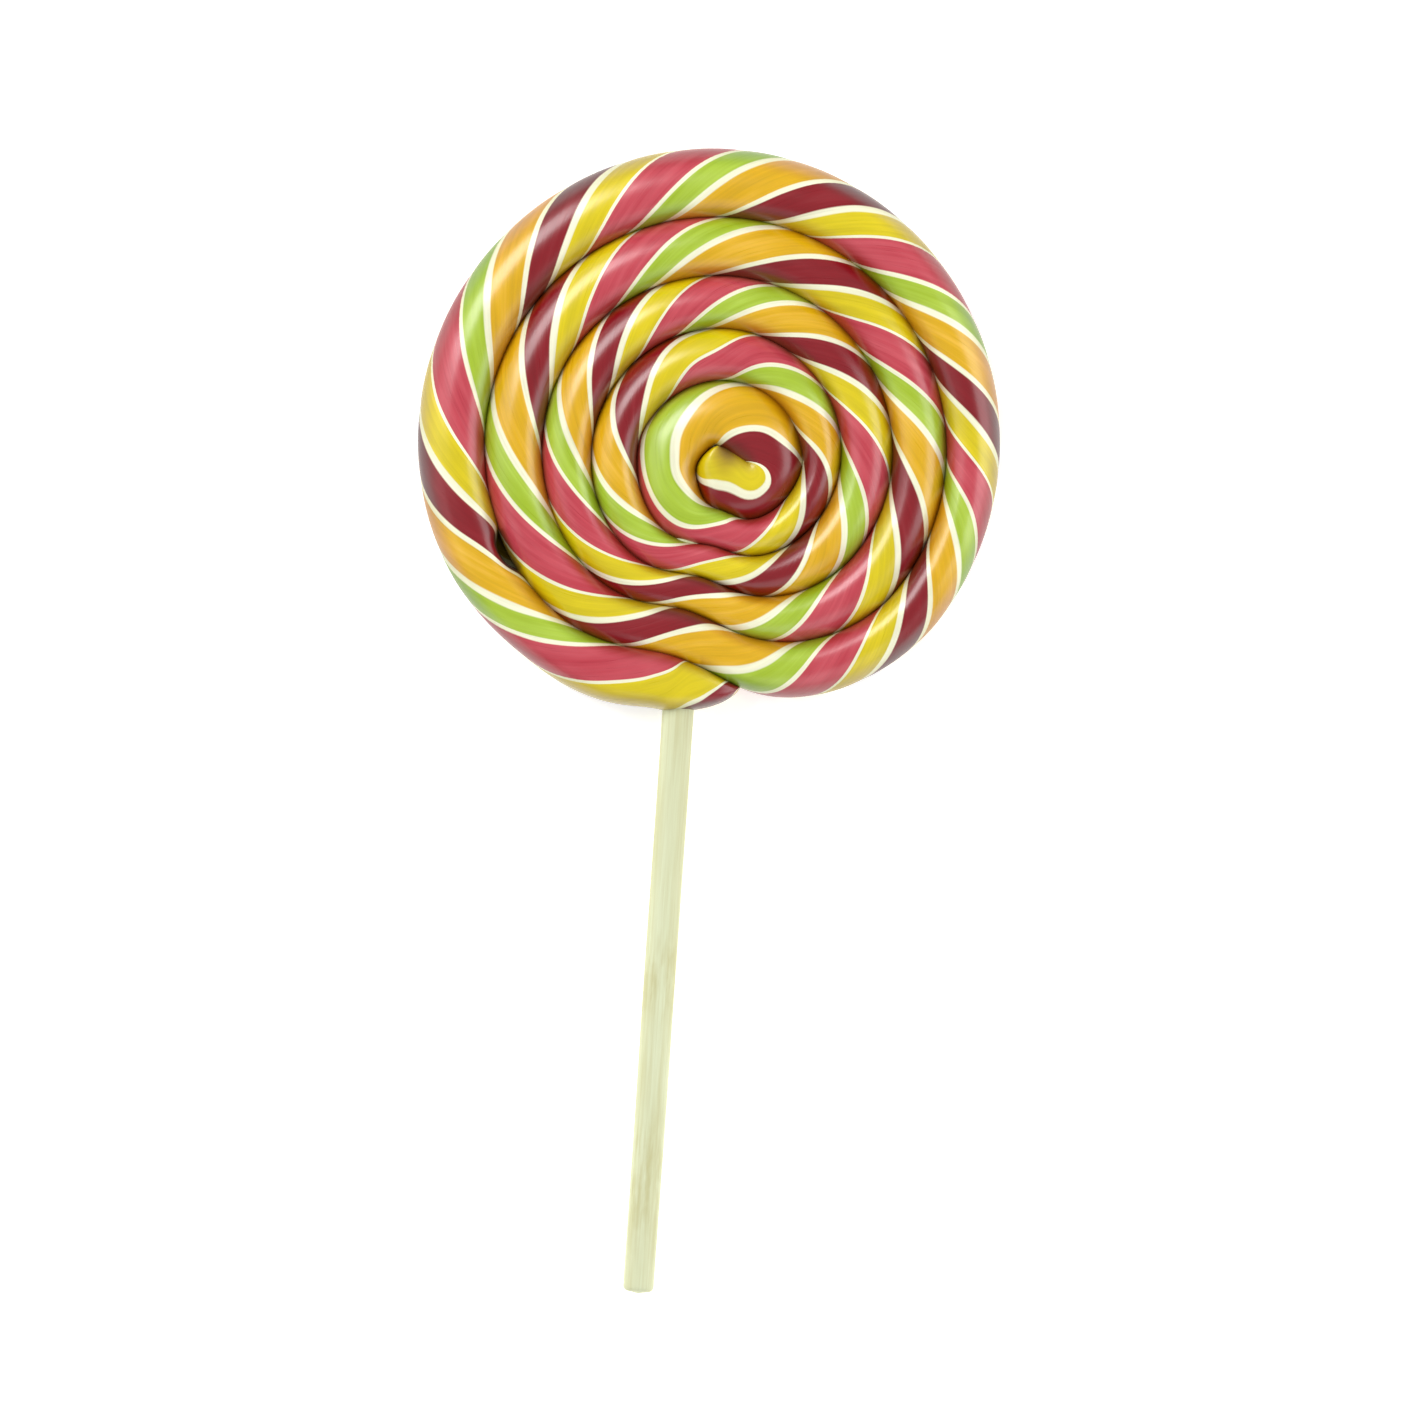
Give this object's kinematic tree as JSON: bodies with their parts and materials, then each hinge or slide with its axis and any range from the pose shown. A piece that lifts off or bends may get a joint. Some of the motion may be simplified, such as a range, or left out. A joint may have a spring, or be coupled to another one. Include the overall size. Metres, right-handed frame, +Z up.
{
  "type": "swirl lollipop",
  "caption": "Flat coiled lollipop: a twisted multicoloured sugar rope wound into a disc on a round wooden stick, lying on its back.",
  "frame": {"origin": "middle of the disc, on the surface that it lies on", "axes": "+Z up out of the shown face, +Y from the stick towards the disc, so that the stick runs along -Y"},
  "size_m": [0.1003, 0.1979, 0.01],
  "materials": {
    "candy": "satin gloss boiled sugar, five twisted strands of raspberry, lime, orange, dark red and yellow with cream lines between them",
    "stick": "smooth pale bare wood"
  },
  "bodies": {
    "root": {"candy": "candy", "stick": "stick"}
  },
  "joints": []
}
